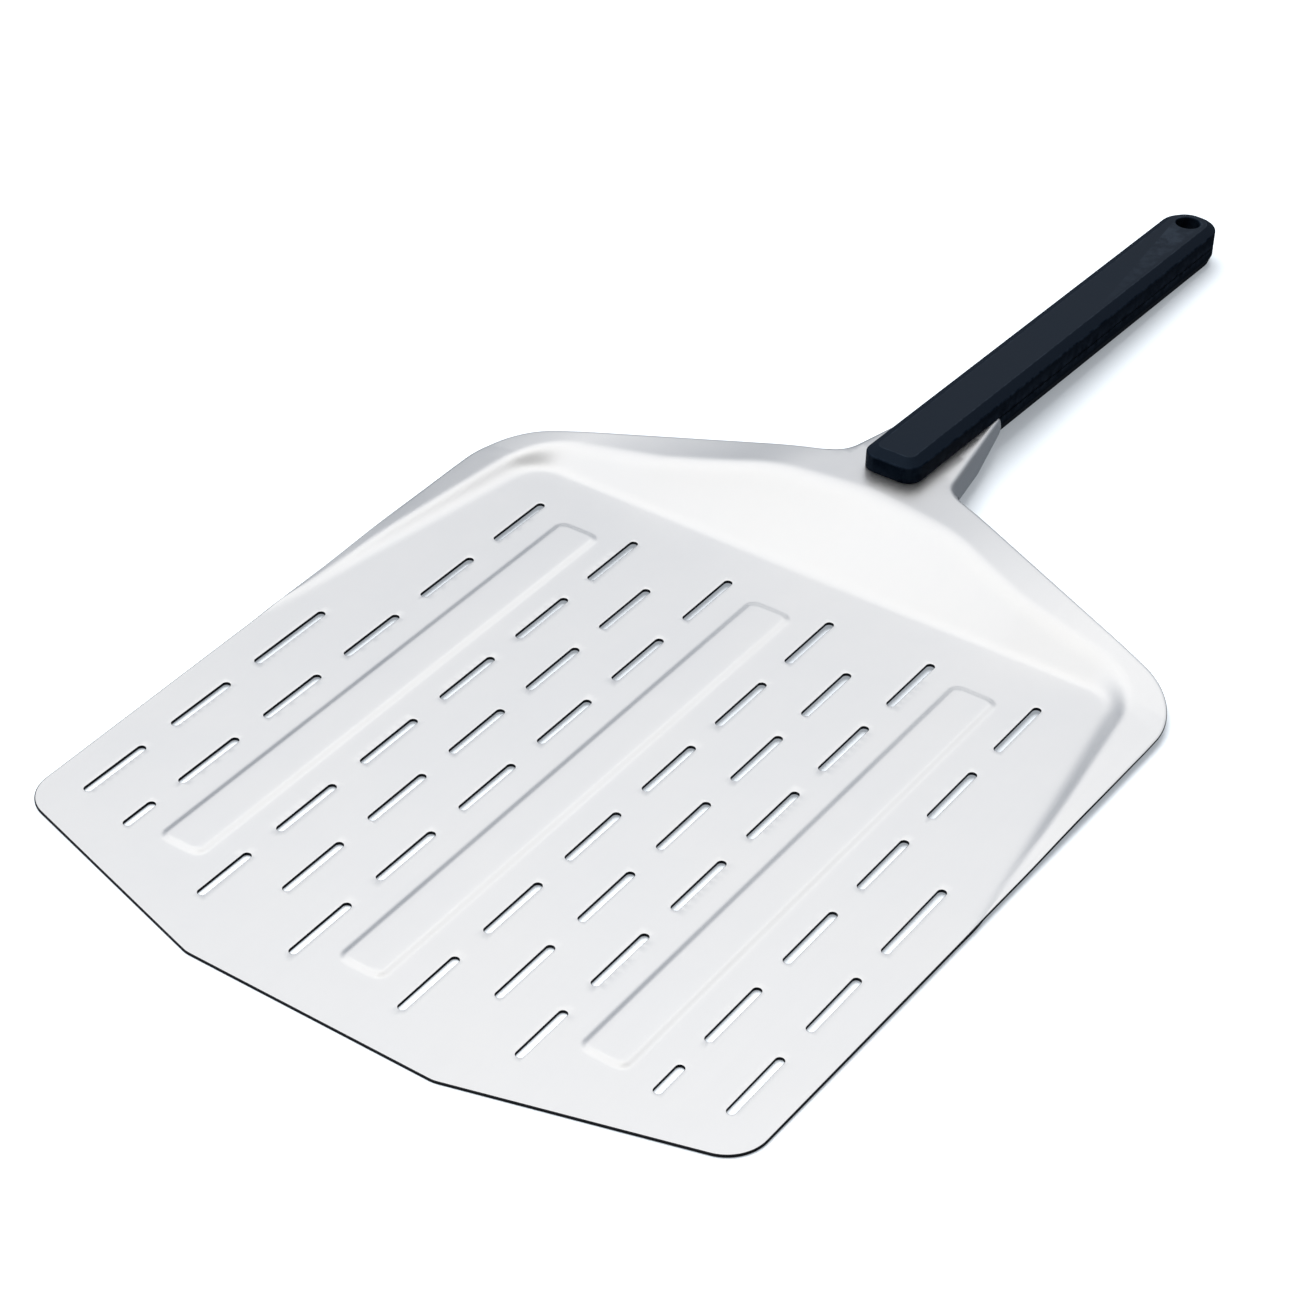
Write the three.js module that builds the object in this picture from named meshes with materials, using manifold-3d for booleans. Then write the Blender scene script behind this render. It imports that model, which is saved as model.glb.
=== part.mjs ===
// A perforated pizza peel: one pressed aluminium blade whose channel-shaped tang runs
// into a two-shell nylon handle, held by four screws driven up into brass inserts.
//
// Millimetres, +Z up. The peel lies as it does on a table, on the front of its blade and
// the end of its handle. +Y runs from the front edge to the handle's end, and the origin
// is on the table under the middle of the whole peel.

import * as THREE from 'three';
import { mergeVertices } from 'three/addons/utils/BufferGeometryUtils.js';
import Module from 'manifold-3d';

const wasm = await Module();
wasm.setup();

// ---- Driving dimensions -------------------------------------------------------------

const SHEET = 1.2; // thickness of the blade's aluminium
const GAP = 0.3; // clearance between neighbouring pieces
const SPARE = 1; // how far a cutter runs on past what it cuts
const FLAT_SPACING = 8; // most between the lines that run along the blade's flat
const CROSS_SPACING = 32; // and between those that run across it
const WALL_SPACING = 5; // and between either on the walls
const ARC_STEPS = { blade: 8, slot: 2, handle: 10, other: 6 }; // per quarter turn or less
const ROUND_SIDES = { bore: 36, post: 24, hole: 16 };
const SIMPLIFY = 0.01;

// The blade's outline, seen from above. The front edge's flat middle is at y = 0.
const BLADE_HALF_WIDTH = 152.5; // at the widest place
const BLADE_WIDEST_Y = 270;
const FRONT_HALF_WIDTH = 148; // of the sides' lines, carried forward to y = 0
const FRONT_FLAT_HALF = 50.6;
const FRONT_RAKE = Math.tan(THREE.MathUtils.degToRad(15.6));
const FRONT_CORNER_RADIUS = 15.5;
// the sheet is thinned from below towards the front edge, so that it slides under dough
const FRONT_TAPER = { reach: 24, thinning: 0.16 };
const REAR_CORNER_RADIUS = 32;
const REAR_EDGE = { x: 47.2, y: 340.1, slope: -0.381 }; // a point on it, and its slope
const NECK_RADIUS = 15;

// The raised rim round the back of the blade: a wall that rises from the flat's foot line,
// and a flange from the wall's crest out to the blade's edge.
const REAR_FOOT_Y = 292.6;
const SIDE_FOOT = { x: 130.3, y: 286.6, slope: 0.165 }; // a point on it, and its slope
const FOOT_CORNER = 12; // radius of the foot line's rear corners
const FOOT_ROUNDING = 1.6;
const SIDE_WALL_SLOPE = 0.55;
const REAR_WALL_SLOPE = { middle: 0.47, corner: 0.72, cornerX: 80, bend: 1.5 };
const CREST_ROUNDING = { most: 3, perHeight: 0.35 };
const FLANGE_SIDE = { edge: 0.97, edgeX: 152, slope: 0.2, from: 185, to: 230 };
const FLANGE_CORNER = { from: 290, slope: 0.065 }; // how the side flange climbs to the rear one
// the rear flange's edge at REAR_EDGE, its fall towards the corner, how it rises inwards
// and how that rise lessens towards the corner, down to a least one, over a reach
const FLANGE_REAR = {
  edge: 15, fall: 0.102, rise: 0.06, lessening: 0.0022, leastRise: -0.09, reach: 20,
};
const FLANGE_BLEND = { rear: 1.5, side: 2 };

// The three raised ribs pressed into the blade.
const RIB_HEIGHT = 0.8;
const RIB_HALF_WIDTH = 10.1;
const RIB_RAMP = 3.2;
const RIB_CORNER = 5;
const RIB_END_Y = 266.3;
const RIBS = [
  { x: -87.2, start: 36.8 },
  { x: 0, start: 25 },
  { x: 87.2, start: 36.8 },
];

// The slots: columns mirrored left and right, with every second column half a pitch later.
const SLOT_WIDTH = 3.15;
const SLOT_END_RADIUS = 1.57;
const SLOT_LENGTH = 29.8;
const SLOT_PITCH = 44.45;
const SLOT_START = 19;
const SLOT_COLUMNS = [
  { x: 22.4, rows: 6, late: false },
  { x: 44, rows: 5, late: true },
  { x: 65.5, rows: 6, late: false, firstStart: 23.5, firstLength: 25.4 },
  { x: 109.4, rows: 6, late: false, firstStart: 35.5, firstLength: 14.8 },
  { x: 132.7, rows: 3, late: true, lastLength: 37.8 },
];

// The tang lies on a plane that falls towards the handle's end. It and the handle are
// drawn in the handle's own frame, whose origin is on that plane at the handle's front.
const HANDLE_START_Y = 342.7;
const TANG_HEIGHT = 16; // of the tang's top at the handle's front
const TANG_FALL = 0.0474;
const TANG_HALF_WIDTH = 22.8; // at TANG_WIDTH_AT, in the handle's frame
const TANG_WIDTH_AT = 13.6;
const TANG_TAPER = 0.197;
const TANG_START = 2; // where the bent part starts, in the handle's frame
const TANG_TIP = 66.8;
const NECK_END = 30; // where the outline's side stops following the tang
const FOLD_RADIUS = 2;
const SKIRT_DEPTH = 10.6;
const SKIRT_FLARE = THREE.MathUtils.degToRad(7);
const ABOVE_TANG = 2; // where the skirt's outline closes, over the sheet
// the skirt's edge from the neck to its rounded tip: place, height and corner radius
const SKIRT_EDGE = [
  { x: TANG_START, y: ABOVE_TANG },
  { x: TANG_START, y: -1.5 },
  { x: 8, y: -2 },
  { x: 17, y: -SKIRT_DEPTH, r: 8 },
  { x: 38, y: -SKIRT_DEPTH, r: 30 },
  { x: TANG_TIP, y: -6, r: 2.4 },
  { x: TANG_TIP, y: -0.5, r: 2.8 },
  { x: TANG_TIP - 4, y: ABOVE_TANG },
];
// shares of the sheet's half width at which its fold starts and its skirt starts
const FOLD_FROM = 0.6;
const SKIRT_FROM = 0.8;
const LAP = 0.15; // how far the blade's sheet lies inside the tang's, above and below
const NECK_LAP = { from: 338, to: 344 };
const PLATE_END = 352; // where the pressed blade stops, inside the tang
const TAIL_START = 40;
const TAIL_HALF_WIDTH = 8;
const TAIL_END = 237;
const TAIL_CORNER = 4;

// The handle.
const HANDLE_HALF_WIDTH = 12.05;
const HANDLE_TOP_HALF = 7.95;
const HANDLE_TOP_FRONT = 4.8; // how far back the top's front edge lies
const HANDLE_TOP = 9.15;
const TOP_CHAMFER = 2.3;
const FRONT_CORNER = 6.5;
const LOWER_WALL_BOTTOM = -3.95;
const HANDLE_BOTTOM = -8.8;
const BOTTOM_HALF = 10.3;
const HANG_HOLE = { y: 245.8, radius: 5.2 };
const NOSE_START = 12;
const NOSE_HALF_WIDTH = 9.6;
const NOSE_CORNER = 4;
const NOSE_REACH = 3; // how far the nose runs back into the lower shell
const RECESS_START = 30;
const UPPER_POCKET = { start: 12, end: 228, halfWidth: 8, height: 6, corner: 3 };
const LOWER_POCKET = { end: 228, halfWidth: 6.5, depth: 6, corner: 3 };

// The fasteners.
const SCREW_STATIONS = [32, 92, 152, 212];
const SCREW = { shank: 2, head: 3.8, headHeight: 2.4, length: 12, socket: 1.5, bevel: 0.8 };
const HEAD_SEAT = -5.4; // the underside of each screw's head, up inside its counterbore
const INSERT = { outer: 3.2, inner: 2.3, length: 5.4 };
// the groove round each insert: its depth, and the heights where its sides start and end
const GROOVE = { depth: 0.4, low: [2.2, 2.45], high: [2.95, 3.2] };
const BOSS_RADIUS = 6;

// ---- Solids ---------------------------------------------------------------------------

// A closed three.js geometry as a manifold-3d solid.
function solid(geometry) {
  const bare = geometry.index ? geometry.toNonIndexed() : geometry.clone();
  bare.deleteAttribute('normal');
  bare.deleteAttribute('uv');
  const merged = mergeVertices(bare, 1e-4);
  const mesh = new wasm.Mesh({
    numProp: 3,
    vertProperties: new Float32Array(merged.attributes.position.array),
    triVerts: new Uint32Array(merged.index.array),
  });
  return new wasm.Manifold(mesh);
}

function geometryOf(body) {
  const mesh = body.getMesh();
  const geometry = new THREE.BufferGeometry();
  geometry.setAttribute('position', new THREE.BufferAttribute(mesh.vertProperties, 3));
  geometry.setIndex(new THREE.BufferAttribute(mesh.triVerts, 1));
  return geometry;
}

// An outline of corners {x, y, r}, each rounded by an arc of radius r where r is given.
function roundedShape(corners) {
  const shape = new THREE.Shape();
  const place = (c) => new THREE.Vector2(c.x, c.y);
  corners.forEach((corner, i) => {
    const at = place(corner);
    const before = place(corners.at(i - 1)).sub(at).normalize();
    const after = place(corners[(i + 1) % corners.length]).sub(at).normalize();
    const radius = corner.r ?? 0;
    const half = Math.acos(THREE.MathUtils.clamp(before.dot(after), -1, 1)) / 2;
    const reach = radius / Math.tan(half);
    const from = at.clone().addScaledVector(before, reach);
    if (i === 0) shape.moveTo(from.x, from.y);
    else shape.lineTo(from.x, from.y);
    if (radius === 0) return;
    const to = at.clone().addScaledVector(after, reach);
    const bisector = before.clone().add(after).normalize();
    const centre = at.clone().addScaledVector(bisector, radius / Math.sin(half));
    const start = from.sub(centre).angle();
    const end = to.sub(centre).angle();
    const clockwise = before.cross(after) > 0;
    shape.absarc(centre.x, centre.y, radius, start, end, clockwise);
  });
  return shape;
}

// An outline in X and Y, made solid from z = low to z = high.
function prism(shape, low, high, curveSegments = ARC_STEPS.other) {
  const settings = { depth: high - low, bevelEnabled: false, curveSegments };
  return new THREE.ExtrudeGeometry(shape, settings).translate(0, 0, low);
}

function rectangle(halfWidth, start, end, radius = 0) {
  return roundedShape([
    { x: -halfWidth, y: start, r: radius },
    { x: halfWidth, y: start, r: radius },
    { x: halfWidth, y: end, r: radius },
    { x: -halfWidth, y: end, r: radius },
  ]);
}

function post(radius, y, low, high, sides = ROUND_SIDES.post) {
  const cylinder = new THREE.CylinderGeometry(radius, radius, high - low, sides);
  return solid(cylinder.rotateX(Math.PI / 2).translate(0, y, (low + high) / 2));
}

// A slab divided at the given lines, each point then moved by place(x, y, isTop).
function formedSlab(xLines, yLines, place) {
  const slab = new THREE.BoxGeometry(1, 1, 1, xLines.length - 1, yLines.length - 1, 1);
  const points = slab.attributes.position;
  for (let i = 0; i < points.count; i += 1) {
    const column = Math.round((points.getX(i) + 0.5) * (xLines.length - 1));
    const row = Math.round((points.getY(i) + 0.5) * (yLines.length - 1));
    points.setXYZ(i, ...place(xLines[column], yLines[row], points.getZ(i) > 0));
  }
  return solid(slab);
}

// Lines from a list of places and the number of equal steps up to each next place.
function divided(places, steps) {
  const lines = [places[0]];
  steps.forEach((count, i) => {
    for (let n = 1; n <= count; n += 1) {
      lines.push(THREE.MathUtils.lerp(places[i], places[i + 1], n / count));
    }
  });
  return lines;
}

// Lines through the places, in order, and between any two that lie more than gap apart.
function spaced(places, gap) {
  const sorted = [...places].sort((a, b) => a - b);
  const steps = sorted.slice(1).map((place, i) => Math.ceil((place - sorted[i]) / gap));
  return divided(sorted, steps);
}

// ---- The blade's height -----------------------------------------------------------------

// The lower of two heights, with the crease between them rounded off; and the higher.
function roundedMin(a, b, rounding) {
  if (rounding <= 0) return Math.min(a, b);
  const overlap = Math.max(rounding - Math.abs(a - b), 0) / rounding;
  return Math.min(a, b) - (overlap * overlap * rounding) / 4;
}

function roundedMax(a, b, rounding) {
  return -roundedMin(-a, -b, rounding);
}

// The walls, by the distance from the foot line: steeper towards the rear corners, gentler
// at the neck and along the sides.
function wallHeight(x, y) {
  const sideFootX = SIDE_FOOT.x + SIDE_FOOT.slope * (SIDE_FOOT.y - y);
  const side = x - sideFootX + FOOT_CORNER;
  const rear = y - REAR_FOOT_Y + FOOT_CORNER;
  const reach = Math.hypot(Math.max(side, 0), Math.max(rear, 0));
  const distance = reach + Math.min(Math.max(side, rear), 0) - FOOT_CORNER;
  const rearShare = reach > 0 ? (Math.max(rear, 0) / reach) ** 2 : 0;
  const { middle, corner, cornerX, bend } = REAR_WALL_SLOPE;
  const towardsCorner = Math.min(x / cornerX, 1) ** bend;
  const rearSlope = THREE.MathUtils.lerp(middle, corner, towardsCorner);
  const slope = THREE.MathUtils.lerp(SIDE_WALL_SLOPE, rearSlope, rearShare);
  return roundedMax(slope * distance, 0, FOOT_ROUNDING);
}

// The flange that the walls rise to: the tang's plane, falling away to the blade's edge.
function flangeHeight(x, y) {
  const lap = LAP * THREE.MathUtils.smoothstep(y, NECK_LAP.from, NECK_LAP.to);
  const tang = TANG_HEIGHT - TANG_FALL * (y - HANDLE_START_Y) - lap;
  const { edge, fall, lessening, leastRise, reach } = FLANGE_REAR;
  const outwards = x - REAR_EDGE.x;
  const rise = Math.max(FLANGE_REAR.rise - lessening * outwards, leastRise);
  const rear = edge - fall * outwards + rise * Math.min(rearEdgeY(x) - y, reach);
  const sideEdge = FLANGE_SIDE.edge
    * THREE.MathUtils.smoothstep(y, FLANGE_SIDE.from, FLANGE_SIDE.to);
  const climb = FLANGE_CORNER.slope * Math.max(0, y - FLANGE_CORNER.from);
  const side = sideEdge + FLANGE_SIDE.slope * (FLANGE_SIDE.edgeX - x) + climb;
  const back = roundedMin(tang, rear, FLANGE_BLEND.rear);
  return Math.max(0, roundedMin(back, side, FLANGE_BLEND.side));
}

// The ribs: flat tops with softly ramped edges and rounded corners.
function ribHeight(x, y) {
  let height = 0;
  for (const rib of RIBS) {
    const middle = (rib.start + RIB_END_Y) / 2;
    const across = Math.abs(x - rib.x) - RIB_HALF_WIDTH + RIB_CORNER;
    const along = Math.abs(y - middle) - (RIB_END_Y - rib.start) / 2 + RIB_CORNER;
    const inside = RIB_CORNER - Math.hypot(Math.max(across, 0), Math.max(along, 0));
    height = Math.max(height, RIB_HEIGHT * THREE.MathUtils.smoothstep(inside, 0, RIB_RAMP));
  }
  return height;
}

function bladeHeight(x, y) {
  const flange = flangeHeight(Math.abs(x), y);
  const rounding = Math.min(CREST_ROUNDING.most, CREST_ROUNDING.perHeight * flange);
  return ribHeight(x, y) + roundedMin(wallHeight(Math.abs(x), y), flange, rounding);
}

// ---- The blade ----------------------------------------------------------------------------

function rearEdgeY(x) {
  return REAR_EDGE.y + REAR_EDGE.slope * (x - REAR_EDGE.x);
}

// Half the tang's width at its folds, at a place along the handle's frame.
function tangHalfWidth(along) {
  return TANG_HALF_WIDTH - TANG_TAPER * (along - TANG_WIDTH_AT);
}

function bladeOutline() {
  const sideSlope = (BLADE_HALF_WIDTH - FRONT_HALF_WIDTH) / BLADE_WIDEST_Y;
  const frontX = (FRONT_HALF_WIDTH - sideSlope * FRONT_FLAT_HALF * FRONT_RAKE)
    / (1 - sideSlope * FRONT_RAKE);
  const frontY = (frontX - FRONT_FLAT_HALF) * FRONT_RAKE;
  const neck = tangHalfWidth(0);
  const right = [
    { x: FRONT_FLAT_HALF, y: 0 },
    { x: frontX, y: frontY, r: FRONT_CORNER_RADIUS },
    { x: BLADE_HALF_WIDTH, y: BLADE_WIDEST_Y },
    { x: BLADE_HALF_WIDTH, y: rearEdgeY(BLADE_HALF_WIDTH), r: REAR_CORNER_RADIUS },
    { x: neck, y: rearEdgeY(neck), r: NECK_RADIUS },
    { x: tangHalfWidth(NECK_END), y: HANDLE_START_Y + NECK_END },
  ];
  const left = right.map(({ x, y, r }) => ({ x: -x, y, r })).reverse();
  return roundedShape([...right, ...left]);
}

// How thick the pressed sheet is, at a distance from the front edge.
function sheetThickness(y) {
  return SHEET - FRONT_TAPER.thinning * Math.max(0, 1 - y / FRONT_TAPER.reach);
}

function slotSolids() {
  const slots = [];
  for (const column of SLOT_COLUMNS) {
    for (let row = 0; row < column.rows; row += 1) {
      const regular = SLOT_START + SLOT_PITCH * (row + (column.late ? 0.5 : 0));
      const isFirst = row === 0 && column.firstLength;
      const isLast = row === column.rows - 1 && column.lastLength;
      const start = isFirst ? column.firstStart : regular;
      const usual = isFirst ? column.firstLength : SLOT_LENGTH;
      const length = isLast ? column.lastLength : usual;
      const outline = rectangle(SLOT_WIDTH / 2, start, start + length, SLOT_END_RADIUS);
      for (const side of [-1, 1]) {
        const slot = prism(outline, -SHEET - SPARE, SPARE, ARC_STEPS.slot);
        slots.push(solid(slot.translate(side * column.x, 0, 0)));
      }
    }
  }
  return wasm.Manifold.union(slots);
}

// Where the sheet's lines run: close together on the ribs' ramps and across the wall.
function plateLines() {
  const ramp = [0, RIB_RAMP / 2, RIB_RAMP, RIB_CORNER];
  const widths = ramp.map((inset) => RIB_HALF_WIDTH - inset);
  const ribsX = RIBS.flatMap((rib) => widths.flatMap((width) => [rib.x - width, rib.x + width]));
  const wallX = SIDE_FOOT.x - FOOT_CORNER / 2;
  const starts = [...new Set(RIBS.map((rib) => rib.start))];
  const ribsY = starts.flatMap((start) => ramp.map((inset) => start + inset));
  const endsY = ramp.map((inset) => RIB_END_Y - inset);
  const wallY = REAR_FOOT_Y - FOOT_CORNER / 2;
  const edgeX = BLADE_HALF_WIDTH + SPARE;
  return {
    x: [
      ...spaced([-edgeX, -wallX], WALL_SPACING),
      ...spaced([-wallX, ...ribsX, wallX], FLAT_SPACING).slice(1),
      ...spaced([wallX, edgeX], WALL_SPACING).slice(1),
    ],
    y: [
      ...spaced([-SPARE, FRONT_TAPER.reach, ...ribsY, ...endsY, wallY], CROSS_SPACING),
      ...spaced([wallY, PLATE_END], WALL_SPACING).slice(1),
    ],
  };
}

function bladePlate() {
  const lines = plateLines();
  const pressed = formedSlab(lines.x, lines.y, (x, y, isTop) => {
    return [x, y, bladeHeight(x, y) - (isTop ? 0 : sheetThickness(y))];
  });
  const outline = prism(bladeOutline(), -SHEET - SPARE, TANG_HEIGHT + SPARE, ARC_STEPS.blade);
  return pressed.intersect(solid(outline)).subtract(slotSolids());
}

// The tang's bent section: flat between its folds, with a skirt folded down at each side.
// fold runs from -1 to 1 over the whole width of the sheet.
function tangPoint(fold, along, isTop) {
  const side = Math.sign(fold);
  const reach = Math.abs(fold);
  const thickness = SHEET + 2 * LAP;
  const centre = tangHalfWidth(along) - FOLD_RADIUS;
  if (reach <= FOLD_FROM) {
    return [(side * centre * reach) / FOLD_FROM, along, isTop ? 0 : -thickness];
  }
  const radius = isTop ? FOLD_RADIUS : FOLD_RADIUS - thickness;
  const bend = Math.PI / 2 - SKIRT_FLARE;
  const angle = bend * Math.min((reach - FOLD_FROM) / (SKIRT_FROM - FOLD_FROM), 1);
  const share = Math.max(reach - SKIRT_FROM, 0) / (1 - SKIRT_FROM);
  const down = share * (SKIRT_DEPTH + SPARE);
  const x = centre + radius * Math.sin(angle) + down * Math.cos(bend);
  const z = radius * Math.cos(angle) - FOLD_RADIUS - down * Math.sin(bend);
  return [side * x, along, z];
}

function tangChannel() {
  const shares = [-1, -SKIRT_FROM, -FOLD_FROM, FOLD_FROM, SKIRT_FROM, 1];
  const folds = divided(shares, [1, 3, 2, 3, 1]);
  const bent = formedSlab(folds, divided([TANG_START, TANG_TIP + SPARE], [4]), tangPoint);
  const width = 2 * TANG_HALF_WIDTH;
  const sideCut = prism(roundedShape(SKIRT_EDGE), -width, width);
  // stand the outline up, so that it runs along Y and Z and is extruded along X
  sideCut.rotateX(Math.PI / 2).rotateZ(Math.PI / 2);
  const tail = rectangle(TAIL_HALF_WIDTH, TAIL_START, TAIL_END, TAIL_CORNER);
  return bent.intersect(solid(sideCut)).add(solid(prism(tail, -SHEET, 0)));
}

function blade(toHandle) {
  let body = bladePlate().add(tangChannel().transform(toHandle.elements));
  for (const station of SCREW_STATIONS) {
    const hole = post(SCREW.shank + GAP, station, -SHEET - SPARE, SPARE, ROUND_SIDES.hole);
    body = body.subtract(hole.transform(toHandle.elements));
  }
  return geometryOf(body.asOriginal().simplify(SIMPLIFY));
}

// ---- The handle ---------------------------------------------------------------------------

// The handle seen from above: rounded corners at the front, a half circle at the end.
function handleOutline() {
  const half = HANDLE_HALF_WIDTH;
  const corner = FRONT_CORNER;
  const outline = new THREE.Shape();
  outline.moveTo(-half + corner, 0);
  outline.lineTo(half - corner, 0);
  outline.absarc(half - corner, corner, corner, -Math.PI / 2, 0, false);
  outline.lineTo(half, HANG_HOLE.y);
  outline.absarc(0, HANG_HOLE.y, half, 0, Math.PI, false);
  outline.lineTo(-half, corner);
  outline.absarc(-half + corner, corner, corner, Math.PI, 1.5 * Math.PI, false);
  return outline;
}

// The handle's outline drawn out between two slices {z, halfWidth, front}, low one first.
function lofted(low, high) {
  const body = prism(handleOutline(), 0, 1, ARC_STEPS.handle);
  const points = body.attributes.position;
  for (let i = 0; i < points.count; i += 1) {
    const slice = points.getZ(i) > 0.5 ? high : low;
    const scale = slice.halfWidth / HANDLE_HALF_WIDTH;
    const y = points.getY(i);
    const atFront = slice.front + y * scale;
    const atEnd = HANG_HOLE.y + (y - HANG_HOLE.y) * scale;
    points.setXYZ(i, points.getX(i) * scale, y < HANG_HOLE.y / 2 ? atFront : atEnd, slice.z);
  }
  return solid(body);
}

const fullSlice = (z) => ({ z, halfWidth: HANDLE_HALF_WIDTH, front: 0 });

function upperShell() {
  const chamferLow = HANDLE_TOP - TOP_CHAMFER;
  const top = { z: HANDLE_TOP, halfWidth: HANDLE_TOP_HALF, front: HANDLE_TOP_FRONT };
  const wall = lofted(fullSlice(GAP), fullSlice(chamferLow));
  const crown = lofted(fullSlice(chamferLow), top);
  const { start, end, halfWidth, height, corner } = UPPER_POCKET;
  let pocket = solid(prism(rectangle(halfWidth, start, end, corner), -SPARE, height));
  for (const station of SCREW_STATIONS) {
    pocket = pocket.subtract(post(BOSS_RADIUS, station, -2 * SPARE, height + SPARE));
  }
  let shell = wall.add(crown).subtract(pocket);
  const boreDepth = INSERT.length + 4 * GAP;
  for (const station of SCREW_STATIONS) {
    shell = shell.subtract(post(INSERT.outer + GAP, station, -SPARE, boreDepth));
  }
  const { y, radius } = HANG_HOLE;
  const bore = post(radius, y, -SPARE, HANDLE_TOP + SPARE, ROUND_SIDES.bore);
  return geometryOf(shell.subtract(bore));
}

function lowerShell() {
  const foot = { z: HANDLE_BOTTOM, halfWidth: BOTTOM_HALF, front: 0 };
  const wall = lofted(fullSlice(LOWER_WALL_BOTTOM), fullSlice(-GAP));
  const base = lofted(foot, fullSlice(LOWER_WALL_BOTTOM));
  const front = TANG_TIP + 2 * GAP;
  const below = HANDLE_BOTTOM - SPARE;
  const ahead = rectangle(2 * HANDLE_HALF_WIDTH, -SPARE, front);
  const seat = -SHEET - 2 * GAP; // under the blade's tail
  const noseOutline = rectangle(NOSE_HALF_WIDTH, NOSE_START, front + NOSE_REACH, NOSE_CORNER);
  const nose = solid(prism(noseOutline, HANDLE_BOTTOM, seat));
  let shell = wall.add(base).subtract(solid(prism(ahead, below, SPARE))).add(nose);
  const recess = rectangle(TAIL_HALF_WIDTH + GAP, RECESS_START, TAIL_END + GAP, TAIL_CORNER);
  shell = shell.subtract(solid(prism(recess, seat, SPARE)));
  const { end, halfWidth, depth, corner } = LOWER_POCKET;
  const pocketOutline = rectangle(halfWidth, front + NOSE_REACH, end, corner);
  let pocket = solid(prism(pocketOutline, -depth, 0));
  for (const station of SCREW_STATIONS) {
    pocket = pocket.subtract(post(BOSS_RADIUS, station, -depth - SPARE, SPARE));
  }
  shell = shell.subtract(pocket);
  for (const station of SCREW_STATIONS) {
    shell = shell.subtract(post(SCREW.shank + GAP, station, below, SPARE, ROUND_SIDES.hole));
    shell = shell.subtract(post(SCREW.head + GAP, station, below, HEAD_SEAT + GAP));
  }
  const bore = post(HANG_HOLE.radius, HANG_HOLE.y, below, SPARE, ROUND_SIDES.bore);
  return geometryOf(shell.subtract(bore));
}

// ---- The fasteners ------------------------------------------------------------------------

// A turned piece about Z, from its profile of [radius, height] points.
function turned(profile) {
  const points = profile.map(([radius, height]) => new THREE.Vector2(radius, height));
  return new THREE.LatheGeometry(points, ROUND_SIDES.post).rotateX(Math.PI / 2);
}

function screw() {
  const { shank, head, headHeight, length, socket, bevel } = SCREW;
  const body = solid(turned([
    [0, -headHeight],
    [head - bevel, -headHeight],
    [head, -headHeight + bevel],
    [head, 0],
    [shank, 0],
    [shank, length - bevel],
    [shank - bevel, length],
    [0, length],
  ]));
  const hexagon = new THREE.CylinderGeometry(socket, socket, headHeight, 6);
  hexagon.rotateX(Math.PI / 2).translate(0, 0, -headHeight);
  return geometryOf(body.subtract(solid(hexagon)));
}

function threadedInsert() {
  const { outer, inner, length } = INSERT;
  const { depth, low, high } = GROOVE;
  return turned([
    [inner, 0],
    [outer, 0],
    [outer, low[0]],
    [outer - depth, low[1]],
    [outer - depth, high[0]],
    [outer, high[1]],
    [outer, length],
    [inner, length],
    [inner, 0],
  ]);
}

// ---- Assembly -----------------------------------------------------------------------------

function piece(name, geometry, color, roughness, metalness) {
  const material = new THREE.MeshStandardMaterial({ color, roughness, metalness });
  const mesh = new THREE.Mesh(geometry, material);
  mesh.name = name;
  return mesh;
}

const peel = new THREE.Group();

const handle = new THREE.Group();
handle.position.set(0, HANDLE_START_Y, TANG_HEIGHT);
handle.rotation.x = -Math.atan(TANG_FALL);
handle.updateMatrix();
peel.add(handle);

peel.add(piece('blade', blade(handle.matrix), 0xd4d6da, 0.38, 1));
handle.add(piece('handle_upper_shell', upperShell(), 0x222a33, 0.55, 0));
handle.add(piece('handle_lower_shell', lowerShell(), 0x222a33, 0.55, 0));

SCREW_STATIONS.forEach((station, i) => {
  const fastener = piece(`handle_screw_${i + 1}`, screw(), 0x8d9095, 0.35, 1);
  fastener.position.set(0, station, HEAD_SEAT);
  handle.add(fastener);
  const insert = piece(`threaded_insert_${i + 1}`, threadedInsert(), 0xb08d4c, 0.4, 1);
  insert.position.set(0, station, 2 * GAP);
  handle.add(insert);
});

// The peel tips until the start of its front taper and the end of its handle both rest on
// the table.
const heel = new THREE.Vector3(0, HANG_HOLE.y + BOTTOM_HALF, HANDLE_BOTTOM);
heel.applyMatrix4(handle.matrix);
peel.rotation.x = Math.atan((-SHEET - heel.z) / (heel.y - FRONT_TAPER.reach));

const resting = new THREE.Group();
resting.add(peel);
resting.updateMatrixWorld(true);
const extent = new THREE.Box3().setFromObject(resting, true);
peel.position.y = -(extent.min.y + extent.max.y) / 2;
peel.position.z = -extent.min.z;

export default resting;
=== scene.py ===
"""Looks of a perforated pizza peel: a pressed aluminium blade in a two-shell nylon handle.

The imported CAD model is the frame. Shapes are worked out in millimetres, either in the
blade's own frame (y = 0 at the middle of the front edge, z = 0 on top of the flat) or in
the handle's (y = 0 at the handle's front, z = 0 on top of the tang), and a matrix turns
them into the row frame in metres.
"""

import math

import bmesh
import bpy
import numpy as np
from mathutils import Euler, Matrix, Vector
from mathutils.geometry import delaunay_2d_cdt
from mathutils.kdtree import KDTree


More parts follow.
